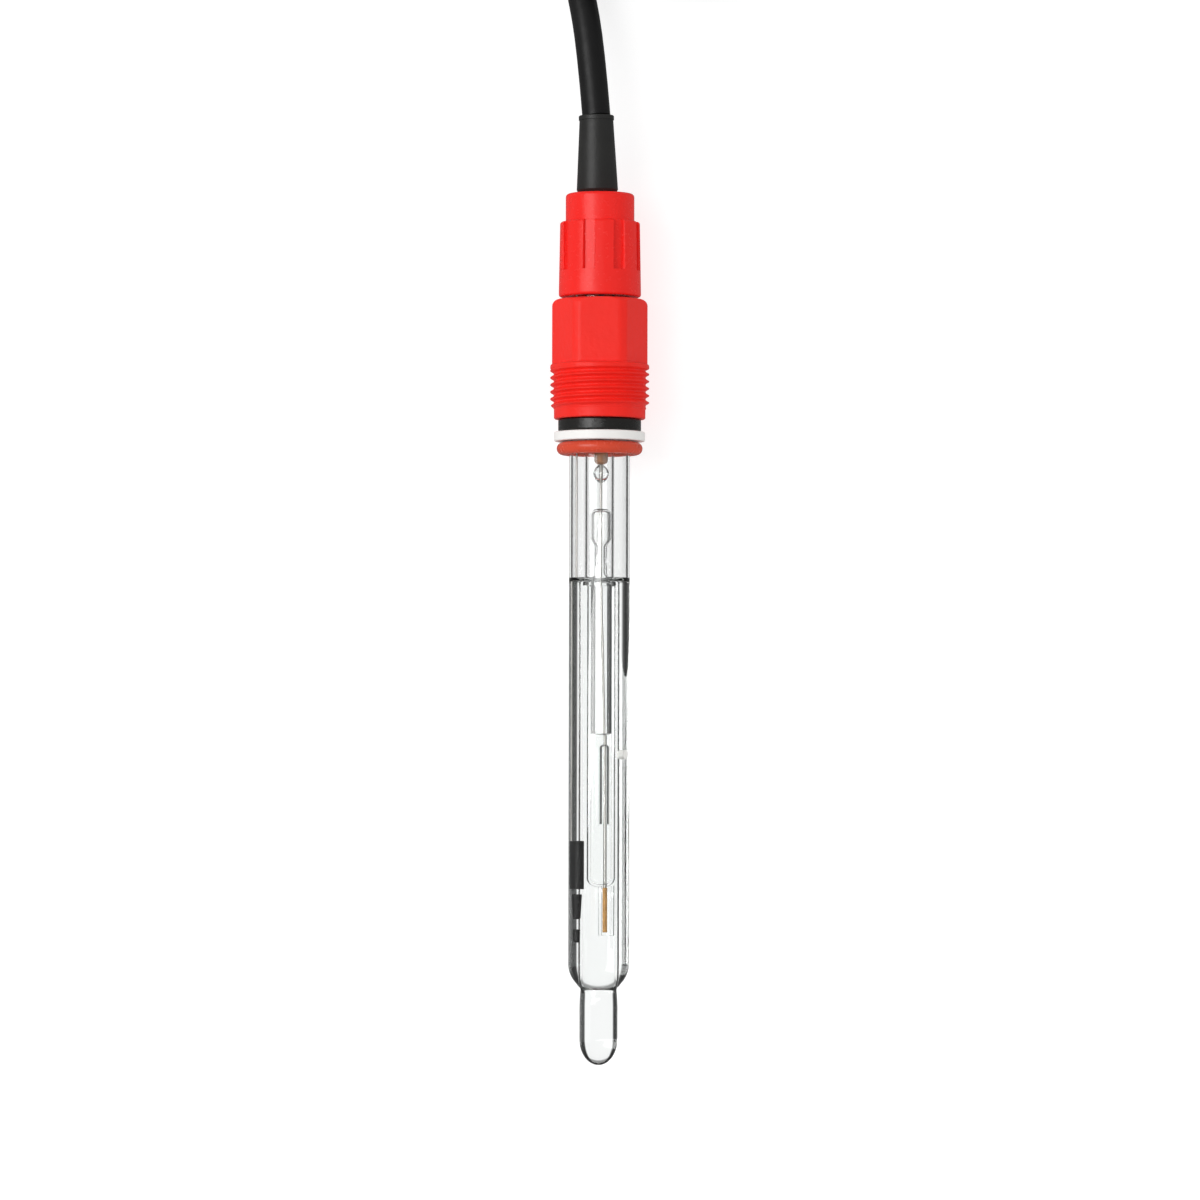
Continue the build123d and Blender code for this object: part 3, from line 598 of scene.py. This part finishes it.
# Floor: white for the eye, with the object's own soft shadow, and dim in mirror images. Light bent through
# the glass passes it, so that the glass shows the bright field and the dark surround of the world below.
floor = bpy.data.objects.new("floor", bpy.data.meshes.new("floor"))
floor.data.from_pydata([(-3, -3, 0), (3, -3, 0), (3, 3, 0), (-3, 3, 0)], [], [(0, 1, 2, 3)])
floor.location = (0, 0, FLOOR_Z / 1000)
bpy.context.scene.collection.objects.link(floor)
look, tree, link = fresh("floor")
out = node(tree, "ShaderNodeOutputMaterial")
glow = node(tree, "ShaderNodeEmission", Strength=0.72)
paint = node(tree, "ShaderNodeBsdfDiffuse")
place = node(tree, "ShaderNodeTexCoord")
paper = node(tree, "ShaderNodeTexNoise", Scale=900.0, Detail=3.0)
shade = node(tree, "ShaderNodeValToRGB")
shade.color_ramp.elements[0].color = (0.4, 0.4, 0.4, 1)
shade.color_ramp.elements[1].color = (0.42, 0.42, 0.42, 1)
link(place.outputs["Object"], paper.inputs["Vector"])
link(paper.outputs["Fac"], shade.inputs[0])
link(shade.outputs[0], paint.inputs["Color"])
lit = node(tree, "ShaderNodeAddShader")
link(glow.outputs[0], lit.inputs[0])
link(paint.outputs[0], lit.inputs[1])
ray = node(tree, "ShaderNodeLightPath")
mirrored = node(tree, "ShaderNodeEmission", Strength=0.2)
answer = node(tree, "ShaderNodeMixShader")
link(ray.outputs["Is Glossy Ray"], answer.inputs[0])
link(lit.outputs[0], answer.inputs[1])
link(mirrored.outputs[0], answer.inputs[2])
gone = node(tree, "ShaderNodeBsdfTransparent")
mix = node(tree, "ShaderNodeMixShader")
link(ray.outputs["Is Transmission Ray"], mix.inputs[0])
link(answer.outputs[0], mix.inputs[1])
link(gone.outputs[0], mix.inputs[2])
link(mix.outputs[0], out.inputs[0])
floor.data.materials.append(look)

# World: white to the eye; for light bent through the glass, a white field with darker sides
world = bpy.data.worlds.new("studio")
bpy.context.scene.world = world
world.use_nodes = True
tree = world.node_tree
tree.nodes.clear()
link = tree.links.new
out = node(tree, "ShaderNodeOutputWorld")
place = node(tree, "ShaderNodeTexCoord")
axes = node(tree, "ShaderNodeSeparateXYZ")
link(place.outputs["Generated"], axes.inputs[0])
down = node(tree, "ShaderNodeMath", operation="MULTIPLY")
down.inputs[1].default_value = -1
link(axes.outputs["Z"], down.inputs[0])


def field(axis, stops):
    """Brightness of the field by its angle from straight down, towards one axis."""
    angle = node(tree, "ShaderNodeMath", operation="ARCTAN2")
    link(axes.outputs[axis], angle.inputs[0])
    link(down.outputs[0], angle.inputs[1])
    share = node(tree, "ShaderNodeMapRange")
    share.inputs["From Min"].default_value = -pi / 2
    share.inputs["From Max"].default_value = pi / 2
    link(angle.outputs[0], share.inputs["Value"])
    ramp = node(tree, "ShaderNodeValToRGB")
    band = ramp.color_ramp
    while len(band.elements) < len(stops):
        band.elements.new(0.5)
    for element, (angle_at, value) in zip(band.elements, stops):
        element.position = (angle_at + 90) / 180
        element.color = (value, value, value, 1)
    link(share.outputs[0], ramp.inputs[0])
    return ramp


across = field("X", (
    (-90, 0.3), (-68, 0.12), (-55, 0.08), (-48, 0.03), (-42, 0.0), (-38, 0.0), (-33, 0.05), (-30, 0.16),
    (-27, 1.0), (25, 1.0), (28, 0.05), (35, 0.01), (40, 0.01), (45, 0.04), (55, 0.07), (68, 0.1), (90, 0.16),
))
lengthwise = field("Y", (
    (-90, 1.0), (-55, 1.0), (-46, 0.35), (-36, 0.35), (-31, 1.0),
    (31, 1.0), (36, 0.35), (46, 0.35), (55, 1.0), (90, 1.0),
))
both = node(tree, "ShaderNodeMix", data_type="RGBA", blend_type="MULTIPLY")
both.inputs[0].default_value = 1.0
link(across.outputs[0], both.inputs[6])
link(lengthwise.outputs[0], both.inputs[7])
bent = node(tree, "ShaderNodeBackground")
link(both.outputs[2], bent.inputs[0])
seen = node(tree, "ShaderNodeBackground")
seen.inputs[0].default_value = (1, 1, 1, 1)
room = node(tree, "ShaderNodeBackground")
room.inputs[0].default_value = (1, 1, 1, 1)
ray = node(tree, "ShaderNodeLightPath")
strength = node(tree, "ShaderNodeMath", operation="MULTIPLY_ADD")
strength.inputs[1].default_value = -0.33
strength.inputs[2].default_value = 0.55
link(ray.outputs["Is Glossy Ray"], strength.inputs[0])
link(strength.outputs[0], room.inputs["Strength"])
first = node(tree, "ShaderNodeMixShader")
second = node(tree, "ShaderNodeMixShader")
link(ray.outputs["Is Camera Ray"], first.inputs[0])
link(room.outputs[0], first.inputs[1])
link(seen.outputs[0], first.inputs[2])
link(ray.outputs["Is Transmission Ray"], second.inputs[0])
link(first.outputs[0], second.inputs[1])
link(bent.outputs[0], second.inputs[2])
link(second.outputs[0], out.inputs[0])


def lamp(name, place, target, size_m, power):
    made = bpy.data.objects.new(name, bpy.data.lights.new(name, "AREA"))
    made.data.shape = "RECTANGLE"
    made.data.size, made.data.size_y = size_m
    made.data.energy = power
    made.location = place
    made.rotation_euler = (Vector(target) - Vector(place)).to_track_quat("-Z", "Y").to_euler()
    bpy.context.scene.collection.objects.link(made)
    return made


lamp("key", (-0.8, 0.35, 1.1), (0, -0.02, 0), (0.7, 1.0), 7.5)
# The fill lightens the right side without a highlight of its own
lamp("fill", (1.0, -0.2, 1.2), (0, -0.02, 0), (0.7, 0.9), 2.0).visible_glossy = False
lamp("strip", (-0.43, -0.05, 1.3), (0, -0.03, 0), (0.07, 1.3), 2.2)

cycles = bpy.context.scene.cycles
cycles.max_bounces = 40
cycles.transmission_bounces = 36
cycles.transparent_max_bounces = 40
cycles.glossy_bounces = 8
cycles.diffuse_bounces = 4

bpy.context.scene.view_settings.view_transform = "Standard"
